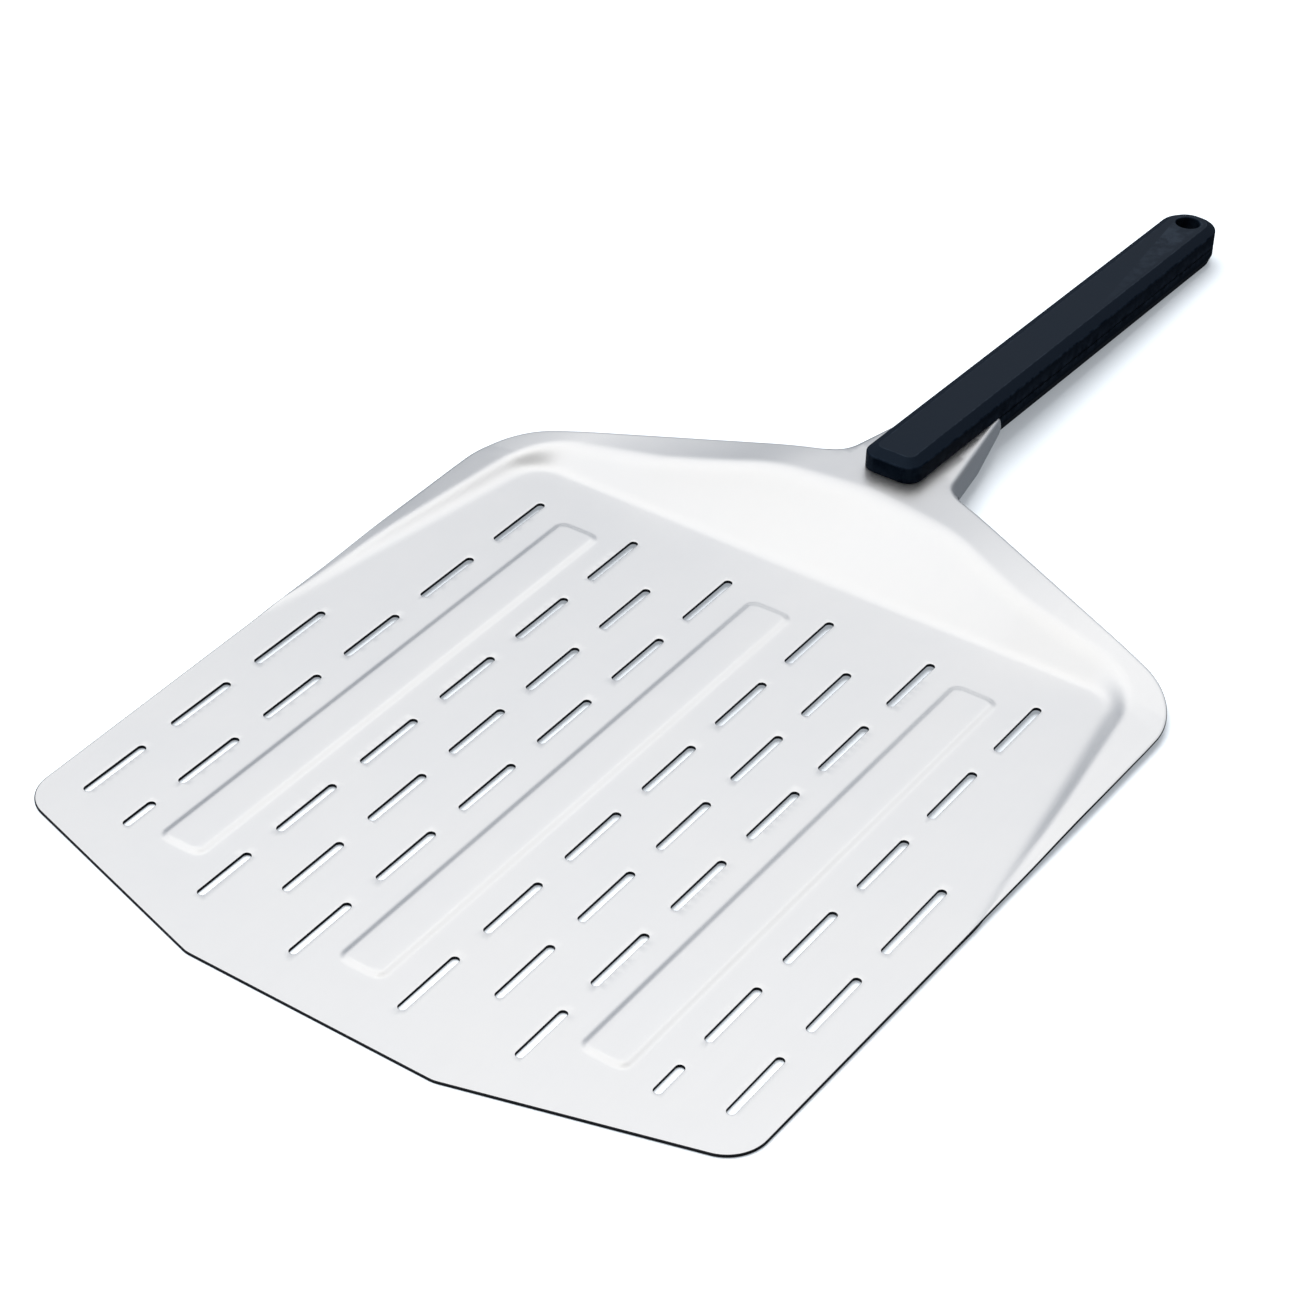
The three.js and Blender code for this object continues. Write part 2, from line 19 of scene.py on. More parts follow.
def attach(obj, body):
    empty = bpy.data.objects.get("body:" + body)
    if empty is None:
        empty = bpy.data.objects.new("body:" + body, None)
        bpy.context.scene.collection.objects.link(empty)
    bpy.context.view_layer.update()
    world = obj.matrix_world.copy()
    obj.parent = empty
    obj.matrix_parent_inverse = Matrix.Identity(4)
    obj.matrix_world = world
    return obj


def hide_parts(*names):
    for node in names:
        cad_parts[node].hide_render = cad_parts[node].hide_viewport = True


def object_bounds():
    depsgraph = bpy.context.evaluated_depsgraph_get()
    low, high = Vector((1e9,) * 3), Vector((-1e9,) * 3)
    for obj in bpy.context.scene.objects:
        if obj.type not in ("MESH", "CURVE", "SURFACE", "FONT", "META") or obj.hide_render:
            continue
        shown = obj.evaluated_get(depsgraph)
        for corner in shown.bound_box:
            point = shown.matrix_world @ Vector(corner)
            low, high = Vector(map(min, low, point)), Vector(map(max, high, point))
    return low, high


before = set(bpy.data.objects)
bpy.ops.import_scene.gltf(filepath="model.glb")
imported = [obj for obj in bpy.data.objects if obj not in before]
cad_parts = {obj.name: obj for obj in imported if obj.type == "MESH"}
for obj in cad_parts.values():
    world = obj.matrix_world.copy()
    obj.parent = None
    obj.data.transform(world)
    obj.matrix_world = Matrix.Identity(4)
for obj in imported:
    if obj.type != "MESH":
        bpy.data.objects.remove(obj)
cad_low, cad_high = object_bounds()

# ---- Sizes, in millimetres -----------------------------------------------------------

SHEET = 1.2
TAPER_REACH, TAPER_THINNING = 24, 0.16  # the sheet is thinned from below at the front
EDGE_ROUND = 0.4
SLOT_EDGE_ROUND = 0.15
EASED_ANGLES = [0, 30, 60, 90]  # degrees round each eased corner of the sheet's edge
RIM = 1.5  # the strip along the blade's edge that is made with the edge, not with the flat
RIM_STEPS = 8  # across that strip, and across the skirts that it widens into

BLADE_HALF_WIDTH = 152.5
BLADE_WIDEST_Y = 270
FRONT_HALF_WIDTH = 148
FRONT_FLAT_HALF = 50.6
FRONT_RAKE = math.tan(math.radians(15.6))
FRONT_BEND_RADIUS = 12
FRONT_CORNER_RADIUS = 15.5
REAR_CORNER_RADIUS = 32
REAR_EDGE_X, REAR_EDGE_Y, REAR_EDGE_SLOPE = 47.2, 340.1, -0.381
NECK_Y, NECK_RADIUS = 350, 15.8

REAR_FOOT_Y = 292.6
SIDE_FOOT_X, SIDE_FOOT_Y, SIDE_FOOT_SLOPE = 130.3, 286.6, 0.165
FOOT_CORNER = 12
SIDE_WALL_SLOPE = 0.55
MIDDLE_WALL_SLOPE, CORNER_WALL_SLOPE, CORNER_WALL_X = 0.47, 0.72, 80
FOOT_ROUNDING, CREST_ROUNDING = 1.6, 3

REAR_FLANGE_HEIGHT, REAR_FLANGE_FALL = 15, 0.102  # at REAR_EDGE_X, and outwards from there
REAR_LEAN, REAR_LEAN_FALL, REAR_LEAN_LEAST = 0.06, 0.0022, -0.09
REAR_LEAN_REACH = 20
SIDE_FLANGE_X, SIDE_FLANGE_HEIGHT, SIDE_FLANGE_LEAN = 152, 0.97, 0.2
SIDE_FLANGE_START_Y, SIDE_FLANGE_FULL_Y = 185, 230
SIDE_RISE_Y, SIDE_RISE = 290, 0.065
NECK_RISE = 0.2

RIB_HEIGHT = 0.8
RIB_HALF_WIDTH = 10.1
RIB_RAMP = 3.2
RIB_CORNER = 5
RIB_END_Y = 266.3
RIB_X, RIB_START_Y, MIDDLE_RIB_START_Y = 87.2, 36.8, 25
RIBS = [(-RIB_X, RIB_START_Y), (0, MIDDLE_RIB_START_Y), (RIB_X, RIB_START_Y)]  # middle x, start y

SLOT_WIDTH = 3.15
SLOT_LENGTH = 29.8
SLOT_PITCH = 44.45
SLOT_START = 19
SLOT_COLUMNS = [  # middle x, rows, half a pitch late, first (start, length), last length
    (22.4, 6, False, None, None),
    (44, 5, True, None, None),
    (65.5, 6, False, (23.5, 25.4), None),
    (109.4, 6, False, (35.5, 14.8), None),
    (132.7, 3, True, None, 37.8),
]

TANG_HEIGHT = 16
TANG_FALL = 0.0474
HANDLE_START_Y = 342.7
FOLD_RADIUS = 2.0
FOLD_ANGLE = math.radians(83)
FOLD_RANGE = (0.5, 10)  # behind the handle's start, from unfolded to fully folded
SKIRT_DEPTH, SKIRT_TAPER_START = 10.6, 38
SKIRT_END, SKIRT_END_DEPTH = 66.8, 5.6
SKIRT_RANGE = (1.5, 13)  # behind the handle's start, from the rim's width to full depth
SKIRT_CORNER, SKIRT_TIP = 1.8, 4
TANG_HALF_WIDTH, TANG_WIDTH_AT, TANG_TAPER = 22.8, 13.6, 0.197
TAIL_HALF_WIDTH, TAIL_END = 8, 237
TAIL_ROOT_RADIUS, TAIL_END_RADIUS = 0.8, 4
RIM_ROLL, RIM_RADIUS = math.radians(22), 4.0  # of the edge that is rolled down at the back
ROLL_START_Y, ROLL_FULL_Y = 215, 290

HANDLE_HALF_WIDTH = 12.05
HANDLE_TOP = 9.15
TOP_CHAMFER = 2.3
TOP_INSET = 4.1
TOP_FRONT_INSET = 4.8
FRONT_CORNER = 6.5
TOP_CORNER = 2.9
LOWER_WALL_BOTTOM = -3.95
HANDLE_BOTTOM = -8.8
BOTTOM_INSET = 1.75
GROOVE = 0.3
PIECE_GAP = 0.3
LIP = 1.4  # how far the faces that meet at the parting line reach inwards
SLICE_CORNER_STEPS, SLICE_END_STEPS, SLICE_SPACING = 12, 24, 12.0
SHELL_FRONT_GAP = 0.6
HANG_HOLE_Y, HANG_HOLE_RADIUS = 245.8, 5.2
HANG_HOLE_SIDES, BORE_SIDES = 64, 48
NOSE_START, NOSE_HALF_WIDTH, NOSE_CORNER = 12, 9.6, 4
NOSE_TOP = -SHEET - 0.6
POCKET_HALF_WIDTH, POCKET_CORNER, POCKET_TOP = 8, 2, 6
POCKETS_START, POCKETS_END = 12, 227
RECESS_START = 30
SCREW_STATIONS = [32, 92, 152, 212]
HEAD_SEAT = -5.4
BOSS_RADIUS = 6
COUNTERBORE_RADIUS = 4.1
CLEARANCE_BORE_RADIUS = 2.3
INSERT_BORE_RADIUS, INSERT_BORE_TOP = 3.5, 6.6

HEAD_RADIUS, HEAD_HEIGHT, HEAD_EASE = 3.8, 2.4, 0.9
SOCKET_RADIUS, SOCKET_DEPTH = 1.5, 1.15
SOCKET_BEVEL, SOCKET_BEVEL_DEPTH = 0.14, 0.12
DRILL_RADIUS, DRILL_DEPTH = 1.15, 1.5
SHANK_RADIUS, SHANK_LENGTH = 2.0, 12.0
THREAD_START, THREAD_END = 0.4, 11.2
THREAD_PITCH, THREAD_DEPTH = 0.7, 0.26
THREAD_RINGS = 8  # for each turn of the thread
SCREW_SIDES = 36

# The peel lies on the start of its front taper and on the underside of its handle's end.
HANDLE_TILT = Matrix.Rotation(-math.atan(TANG_FALL), 3, "X")
HEEL = Vector((0, HANDLE_START_Y, TANG_HEIGHT)) + HANDLE_TILT @ Vector(
    (0, HANG_HOLE_Y + HANDLE_HALF_WIDTH - BOTTOM_INSET, HANDLE_BOTTOM)
)
REST_TILT = math.atan((-SHEET - HEEL.z) / (HEEL.y - TAPER_REACH))
BLADE_LIFT = SHEET * math.cos(REST_TILT) - TAPER_REACH * math.sin(REST_TILT)

MILLIMETRES = Matrix.Scale(0.001, 4)
BLADE_FRAME = (
    MILLIMETRES
    @ Matrix.Translation((0, cad_low.y * 1000, BLADE_LIFT))
    @ Matrix.Rotation(REST_TILT, 4, "X")
)
HANDLE_FRAME = (
    BLADE_FRAME
    @ Matrix.Translation((0, HANDLE_START_Y, TANG_HEIGHT))
    @ HANDLE_TILT.to_4x4()
)

# ---- Outlines ------------------------------------------------------------------------


def rounded(corners, step=1.0):
    """The closed outline through corners (x, y, radius), with arcs cut about every step."""
    points = []
    for i, (x, y, radius) in enumerate(corners):
        at = Vector((x, y))
        before = (Vector(corners[i - 1][:2]) - at).normalized()
        after = (Vector(corners[(i + 1) % len(corners)][:2]) - at).normalized()
        if radius <= 0:
            points.append(at)
            continue
        half = before.angle(after) / 2
        start = at + before * (radius / math.tan(half))
        centre = at + (before + after).normalized() * (radius / math.sin(half))
        turn = math.pi - 2 * half
        if before.x * after.y - before.y * after.x > 0:
            turn = -turn
        count = max(2, math.ceil(abs(turn) * radius / step))
        for n in range(count + 1):
            spin = Matrix.Rotation(turn * n / count, 2)
            points.append(centre + spin @ (start - centre))
    return np.array(points)


def subdivided(loop, spacing):
    """The loop with every side longer than spacing cut into equal parts."""
    points = []
    for a, b in zip(loop, np.roll(loop, -1, axis=0)):
        count = max(1, math.ceil(np.linalg.norm(b - a) / spacing))
        points.extend(a + (b - a) * n / count for n in range(count))
    return np.array(points)


def outward(loop):
    """Unit normals of an anticlockwise loop, in its plane, pointing out."""
    ahead = np.roll(loop, -1, axis=0) - loop
    ahead /= np.linalg.norm(ahead, axis=1)[:, None]
    along = ahead + np.roll(ahead, 1, axis=0)
    along /= np.linalg.norm(along, axis=1)[:, None]
    return np.stack([along[:, 1], -along[:, 0]], axis=1)


def smoothstep(value, low, high):
    t = np.clip((value - low) / (high - low), 0, 1)
    return t * t * (3 - 2 * t)


# ---- The blade's surface -------------------------------------------------------------


def rounded_min(a, b, rounding):
    overlap = np.maximum(rounding - np.abs(a - b), 0) / np.maximum(rounding, 1e-6)
    return np.minimum(a, b) - overlap**2 * rounding / 4


def rounded_max(a, b, rounding):
    return -rounded_min(-a, -b, rounding)


def wall_height(x, y):
    """The walls, by the distance from the foot line: steeper towards the rear corners,
    gentler at the neck and along the sides."""
    side = x - SIDE_FOOT_X - SIDE_FOOT_SLOPE * (SIDE_FOOT_Y - y) + FOOT_CORNER
    rear = y - REAR_FOOT_Y + FOOT_CORNER
    reach = np.hypot(np.maximum(side, 0), np.maximum(rear, 0))
    distance = reach + np.minimum(np.maximum(side, rear), 0) - FOOT_CORNER
    rear_share = (np.maximum(rear, 0) / np.maximum(reach, 1e-6)) ** 2
    towards_corner = np.minimum(x / CORNER_WALL_X, 1) ** 1.5
    rear_slope = MIDDLE_WALL_SLOPE + (CORNER_WALL_SLOPE - MIDDLE_WALL_SLOPE) * towards_corner
    slope = SIDE_WALL_SLOPE + (rear_slope - SIDE_WALL_SLOPE) * rear_share
    return rounded_max(slope * distance, np.zeros_like(x), FOOT_ROUNDING)


def flange_height(x, y):
    """What the walls rise to: the tang's plane, or the flange behind them, which falls
    towards the rear corners, or the flange beside them, which is low."""
    tang = TANG_HEIGHT - TANG_FALL * (y - HANDLE_START_Y)
    outwards = x - REAR_EDGE_X
    lean = np.maximum(REAR_LEAN - REAR_LEAN_FALL * outwards, REAR_LEAN_LEAST)
    rear = REAR_FLANGE_HEIGHT - REAR_FLANGE_FALL * outwards
    rear = rear + lean * np.minimum(rear_edge_y(x) - y, REAR_LEAN_REACH)
    rear = rear + NECK_RISE * np.maximum(y - NECK_Y, 0)
    side = SIDE_FLANGE_HEIGHT * smoothstep(y, SIDE_FLANGE_START_Y, SIDE_FLANGE_FULL_Y)
    side = side + SIDE_FLANGE_LEAN * (SIDE_FLANGE_X - x)
    side = side + SIDE_RISE * np.maximum(0, y - SIDE_RISE_Y)
    return np.maximum(0, rounded_min(rounded_min(tang, rear, 1.5), side, 2.0))


def rib_height(x, y):
    height = np.zeros_like(x)
    for middle, start in RIBS:
        across = np.abs(x - middle) - RIB_HALF_WIDTH + RIB_CORNER
        along = np.abs(y - (start + RIB_END_Y) / 2) - (RIB_END_Y - start) / 2 + RIB_CORNER
        outside = np.hypot(np.maximum(across, 0), np.maximum(along, 0)) - RIB_CORNER
        height = np.maximum(height, smoothstep(-outside, 0, RIB_RAMP) * RIB_HEIGHT)
    return height


def blade_height(x, y):
    flange = flange_height(np.abs(x), y)
    rounding = np.minimum(CREST_ROUNDING, 0.35 * flange)
    return rib_height(x, y) + rounded_min(wall_height(np.abs(x), y), flange, rounding)


def blade_surface(plan):
    """Points of the blade's top over plan, and its unit normals there."""
    x, y = plan[:, 0], plan[:, 1]
    step = 0.05
    rise_x = (blade_height(x + step, y) - blade_height(x - step, y)) / (2 * step)
    rise_y = (blade_height(x, y + step) - blade_height(x, y - step)) / (2 * step)
    normals = np.stack([-rise_x, -rise_y, np.ones_like(x)], axis=1)
    normals /= np.linalg.norm(normals, axis=1)[:, None]
    return np.stack([x, y, blade_height(x, y)], axis=1), normals


# ---- The blade's outline and openings ------------------------------------------------


def rear_edge_y(x):
    return REAR_EDGE_Y + REAR_EDGE_SLOPE * (x - REAR_EDGE_X)


def fold_half_width(y):
    """Half the width of the tang's flat top, between its two folds."""
    along = y - HANDLE_START_Y
    return TANG_HALF_WIDTH - FOLD_RADIUS - TANG_TAPER * (along - TANG_WIDTH_AT)


def blade_outline():
    side_slope = (BLADE_HALF_WIDTH - FRONT_HALF_WIDTH) / BLADE_WIDEST_Y
    front_x = (FRONT_HALF_WIDTH - side_slope * FRONT_FLAT_HALF * FRONT_RAKE) / (
        1 - side_slope * FRONT_RAKE
    )
    front_y = (front_x - FRONT_FLAT_HALF) * FRONT_RAKE
    neck = fold_half_width(NECK_Y) + RIM
    end = HANDLE_START_Y + SKIRT_END
    tail_end = HANDLE_START_Y + TAIL_END
    right = [
        (FRONT_FLAT_HALF, 0, FRONT_BEND_RADIUS),
        (front_x, front_y, FRONT_CORNER_RADIUS),
        (BLADE_HALF_WIDTH, BLADE_WIDEST_Y, 0),
        (BLADE_HALF_WIDTH, rear_edge_y(BLADE_HALF_WIDTH), REAR_CORNER_RADIUS),
        (neck, rear_edge_y(neck), NECK_RADIUS),
        (fold_half_width(end) + RIM, end, SKIRT_CORNER),
        (TAIL_HALF_WIDTH, end, TAIL_ROOT_RADIUS),
        (TAIL_HALF_WIDTH, tail_end, TAIL_END_RADIUS),
    ]
    left = [(-x, y, radius) for x, y, radius in reversed(right)]
    return subdivided(rounded(right + left, 0.8), 2.0)


def slot_loops():
    """Each slot's outline, clockwise, so that its outward normals point into the sheet."""
    loops = []
    radius = SLOT_WIDTH / 2
    end_radius = radius * 0.999  # just under half the width, so that the arcs keep apart
    for middle, rows, late, first, last in SLOT_COLUMNS:
        for row in range(rows):
            start = SLOT_START + SLOT_PITCH * (row + 0.5 * late)
            length = SLOT_LENGTH
            if row == 0 and first:
                start, length = first
            if row == rows - 1 and last:
                length = last
            for x in (-middle, middle):
                corners = [
                    (x - radius, start, end_radius),
                    (x - radius, start + length, end_radius),
                    (x + radius, start + length, end_radius),
                    (x + radius, start, end_radius),
                ]
                loops.append(subdivided(rounded(corners, 0.35), 2.5))
    return loops


# ---- The blade's mesh ----------------------------------------------------------------


def spread(places, gaps):
    """Places from the first to the last, with about the given gap inside each interval."""
    lines = [places[0]]
    for low, high, gap in zip(places, places[1:], gaps):
        count = max(1, round((high - low) / gap))
        lines.extend(low + (high - low) * n / count for n in range(1, count + 1))
    return lines


def grid_points():
    """Points inside the blade, close together where the sheet bends."""
    outer, inner = RIB_HALF_WIDTH + 0.3, RIB_HALF_WIDTH - RIB_RAMP - 0.2
    before, after = 0.3, RIB_CORNER
    half = spread(
        [0, inner, outer, RIB_X - outer, RIB_X - inner, RIB_X + inner, RIB_X + outer, 154],
        [2.0, 0.5, 3.0, 0.5, 2.0, 0.5, 1.5],
    )
    xs = [-x for x in reversed(half[1:])] + half
    starts = []
    for start in (MIDDLE_RIB_START_Y, RIB_START_Y):
        starts += [start - before, start + after]
    ends = [RIB_END_Y - after, RIB_END_Y + before]
    ys = spread([0, *starts, *ends, 286, 345, 580], [3.0, 0.5, 2.0, 0.5, 3.6, 0.5, 2.0, 1.0, 4.0])
    x, y = np.meshgrid(xs, ys)
    return np.stack([x.ravel(), y.ravel()], axis=1)


def clear_of(points, loops, distance):
    """The points that lie further than distance from every loop."""
    samples = np.concatenate([subdivided(loop, 0.4) for loop in loops])
    tree = KDTree(len(samples))
    for i, (x, y) in enumerate(samples):
        tree.insert((x, y, 0), i)
    tree.balance()
    keep = [tree.find((x, y, 0))[2] > distance for x, y in points]
    return points[np.array(keep)]


def flat_mesh(outer, holes, inside):
    """Triangles that fill outer but not holes, through the points inside, and each loop's
    places among the points. outer runs anticlockwise and the holes clockwise."""
    starts = np.cumsum([0, len(outer)] + [len(hole) for hole in holes])
    points = np.concatenate([outer, *holes, inside])
    loops = [list(range(a, b)) for a, b in zip(starts, starts[1:])]
    faces = [loops[0]] + [loop[::-1] for loop in loops[1:]]
    made = delaunay_2d_cdt([Vector(p) for p in points], [], faces, 1, 1e-5)
    plan, _, triangles, origins, _, owners = made
    kept = [t for t, owner in zip(triangles, owners) if list(owner) == [0]]
    used = sorted({i for t in kept for i in t})
    place = {old: new for new, old in enumerate(used)}
    kept = [[place[i] for i in t] for t in kept]
    now_at = {origins[old][0]: place[old] for old in used if origins[old]}
    rings = [[now_at[i] for i in loop] for loop in loops]
    return np.array([plan[i] for i in used]), kept, rings


def sheet_profile(length, steps, ease):
    """Round a sheet's edge from top to bottom, with its corners eased: distances along the
    sheet, which may be several rows for several lengths, and depths below its top."""
    length = np.atleast_1d(length)[:, None]
    turn = np.radians(EASED_ANGLES)
    top = (length - ease) * np.arange(steps) / steps
    curve = length - ease * (1 - np.sin(turn))
    along = np.concatenate([top, curve], axis=1)
    depth = np.concatenate([np.zeros(steps), ease * (1 - np.cos(turn))])
    return (
        np.concatenate([along, along[:, ::-1]], axis=1),
        np.concatenate([depth, SHEET - depth[::-1]]),
    )


def bent_edges(at, normals, along, depth, fold, radius):
    """For each point at, the profile's points, where the sheet bends down beyond it by
    the angle fold about the radius."""
    radius = radius[:, None]
    angle = np.minimum(along / radius, fold[:, None])
    straight = along - angle * radius
    out = radius * np.sin(angle) + straight * np.cos(angle)
    down = radius * (1 - np.cos(angle)) + straight * np.sin(angle)
    plan = at[:, None] + normals[:, None] * out[..., None]
    surface, up = blade_surface(plan.reshape(-1, 2))
    sideways = np.zeros((*out.shape, 3))
    sideways[..., :2] = normals[:, None]
    away = up.reshape(sideways.shape) * np.cos(angle)[..., None]
    away += sideways * np.sin(angle)[..., None]
    away /= np.linalg.norm(away, axis=2)[..., None]
    points = surface.reshape(sideways.shape) - away * depth[None, :, None]
    points[..., 2] -= down
    return points


def skirts(at):
    """How far the sheet runs on beyond each point, and the angle and radius it is folded
    down by: a rim round the blade, rolled at the back, and a skirt down each side of the tang."""
    along = at[:, 1] - HANDLE_START_Y
    tail = (along > 0) & (np.abs(at[:, 0]) < TAIL_HALF_WIDTH + 1)
    depth = np.interp(along, [SKIRT_TAPER_START, SKIRT_END], [SKIRT_DEPTH, SKIRT_END_DEPTH])
    full = FOLD_RADIUS * FOLD_ANGLE + depth - FOLD_RADIUS
    tip = np.clip((along - (SKIRT_END - SKIRT_TIP)) / SKIRT_TIP, 0, 1)
    length = RIM + (full - RIM) * smoothstep(along, *SKIRT_RANGE) * np.sqrt(1 - tip**2)
    roll = RIM_ROLL * smoothstep(at[:, 1], ROLL_START_Y, ROLL_FULL_Y)
    folded = smoothstep(along, *FOLD_RANGE)
    angle = np.maximum(FOLD_ANGLE * folded, roll)
    radius = RIM_RADIUS + (FOLD_RADIUS - RIM_RADIUS) * folded
    return np.where(tail, RIM, length), np.where(tail, 0.0, angle), radius


def blade_mesh():
    """The blade's vertices and faces, and for each face 1 where the sheet is cut, else 0; the cut
    faces take the near-black edge material, a painted shade.
    """
    outline = blade_outline()
    outer = outline - outward(outline) * RIM
    slots = slot_loops()
    holes = [slot - outward(slot) * SLOT_EDGE_ROUND for slot in slots]
    inside = clear_of(grid_points(), [outer, *holes], 0.45)
    plan, triangles, rings = flat_mesh(outer, holes, inside)
    top, normals = blade_surface(plan)
    count = len(top)
    vertices = [*top, *(top - normals * SHEET)]
    faces = triangles + [[i + count for i in reversed(t)] for t in triangles]
    cut = [0] * len(faces)

    def stitch(ring, points, first_cut):
        """Faces from each ring point down its column of points to the sheet's underside."""
        last_cut = first_cut + 2 * (len(EASED_ANGLES) - 1)
        inner = points[:, 1:-1]
        first = len(vertices)
        vertices.extend(inner.reshape(-1, 3))
        size = inner.shape[1]
        columns = [
            [index, *range(first + n * size, first + (n + 1) * size), index + count]
            for n, index in enumerate(ring)
        ]
        for a, b in zip(columns, columns[1:] + columns[:1]):
            for k in range(len(a) - 1):
                faces.append([a[k], a[k + 1], b[k + 1], b[k]])
                cut.append(1 if first_cut <= k <= last_cut else 0)

    length, fold, radius = skirts(outer)
    along, depth = sheet_profile(length, RIM_STEPS, EDGE_ROUND)
    edge = bent_edges(outer, outward(outline), along, depth, fold, radius)
    stitch(rings[0], edge, RIM_STEPS)
    along, depth = sheet_profile(SLOT_EDGE_ROUND, 0, SLOT_EDGE_ROUND)
    for ring, slot, hole in zip(rings[1:], slots, holes):
        level, radius = np.zeros(len(hole)), np.ones(len(hole))
        rows = np.repeat(along, len(hole), axis=0)
        stitch(ring, bent_edges(hole, outward(slot), rows, depth, level, radius), 0)
    vertices = np.array(vertices)
    underside = TAPER_THINNING * (1 - vertices[:, 1] / TAPER_REACH) - SHEET
    tapered = vertices[:, 1] < TAPER_REACH
    vertices[tapered, 2] = np.maximum(vertices[tapered, 2], underside[tapered])
    return vertices, faces, cut


# ---- Making objects ------------------------------------------------------------------


def mesh_object(name, vertices, faces, matrix):
    """A new object in the scene, with its vertices placed by the matrix."""
    mesh = bpy.data.meshes.new(name)
    mesh.from_pydata([tuple(v) for v in vertices], [], faces)
    mesh.transform(matrix)
    obj = bpy.data.objects.new(name, mesh)
    bpy.context.scene.collection.objects.link(obj)
    return obj


def shade_smooth(mesh):
    mesh.polygons.foreach_set("use_smooth", [True] * len(mesh.polygons))


def lofted(name, loops, matrix, sharp=math.radians(30)):
    """A closed solid through loops of points, all of one length, capped at both ends."""
    size = len(loops[0])
    vertices = [p for loop in loops for p in loop]
    faces = []
    for level in range(len(loops) - 1):
        for i in range(size):
            j = (i + 1) % size
            a, b = level * size, (level + 1) * size
            faces.append([a + i, a + j, b + j, b + i])
    faces.append(list(range(size))[::-1])
    faces.append(list(range((len(loops) - 1) * size, len(loops) * size)))
    obj = mesh_object(name, vertices, faces, matrix)
    bm = bmesh.new()
    bm.from_mesh(obj.data)
    bmesh.ops.dissolve_degenerate(bm, dist=1e-7, edges=bm.edges)
    bmesh.ops.recalc_face_normals(bm, faces=bm.faces)
    bm.to_mesh(obj.data)
    bm.free()
    shade_smooth(obj.data)
    obj.data.set_sharp_from_angle(angle=sharp)
    return obj


def combine(obj, others, operation):
    """obj after a union with, or a cut by, each of the others, which are then removed."""
    for other in others:
        modifier = obj.modifiers.new("combine", "BOOLEAN")
        modifier.operation = operation
        modifier.solver = "EXACT"
        modifier.object = other
    bpy.context.view_layer.update()
    made = bpy.data.meshes.new_from_object(
        obj.evaluated_get(bpy.context.evaluated_depsgraph_get())
    )
    obj.modifiers.clear()
    obj.data = made
    for other in others:
        bpy.data.objects.remove(other)


def finish_shell(obj):
    """Smooth shading across the rounded edges, flat faces kept flat, and a mask of wear and
    painted highlight that is 1 where the surface bends outwards."""
    sharp, worn = math.radians(32), math.radians(6)
    mesh = obj.data
    shade_smooth(mesh)
    mesh.set_sharp_from_angle(angle=sharp)
    bm = bmesh.new()
    bm.from_mesh(mesh)
    # 1 on convex edges, where the nylon is shown rubbed and a highlight is painted
    wear_and_highlight = [0.0] * len(bm.verts)
    for edge in bm.edges:
        if len(edge.link_faces) == 2 and edge.is_convex and edge.calc_face_angle(0) > worn:
            for vertex in edge.verts:
                wear_and_highlight[vertex.index] = 1.0
    bm.free()
    attribute = mesh.attributes.new("wear_and_highlight", "FLOAT", "POINT")
    attribute.data.foreach_set("value", wear_and_highlight)
    modifier = obj.modifiers.new("flats", "WEIGHTED_NORMAL")
    modifier.keep_sharp = True
    modifier.weight = 50


# ---- Handle shells -------------------------------------------------------------------


def arc_points(x, y, radius, low, high, steps):
    """Points round the centre (x, y) from the angle low to the angle high, in degrees."""
    turns = [math.radians(low + (high - low) * n / steps) for n in range(steps + 1)]
    return [(x + radius * math.cos(a), y + radius * math.sin(a)) for a in turns]


def capsule(half_width, start, corner, z):
    """A level slice of the handle: two rounded corners in front, a half circle behind."""
    right = arc_points(half_width - corner, start + corner, corner, -90, 0, SLICE_CORNER_STEPS)
    straight = spread([start + corner, HANG_HOLE_Y], [SLICE_SPACING])[1:-1]
    right += [(half_width, y) for y in straight]
    right += arc_points(0, HANG_HOLE_Y, half_width, 0, 90, SLICE_END_STEPS)
    left = [(-x, y) for x, y in reversed(right)]
    return [(x, y, z) for x, y in right + left[1:]]


def profile_points(corners):
    """An open profile of (inset, height, radius) corners, its corners rounded."""
    far = 60
    closed = rounded([*corners, (far, corners[-1][1], 0), (far, corners[0][1], 0)], 0.12)
    return [p for p in closed if p[0] < far / 2]


def prism(name, outline, low, high):
    """The solid over an outline in the handle's frame, from one height to another."""
    return lofted(name, [[(x, y, z) for x, y in outline] for z in (low, high)], HANDLE_FRAME)


def box_outline(half_width, low_y, high_y, radius):
    corners = [(-1, low_y), (1, low_y), (1, high_y), (-1, high_y)]
    return rounded([(side * half_width, y, radius) for side, y in corners], 0.5)


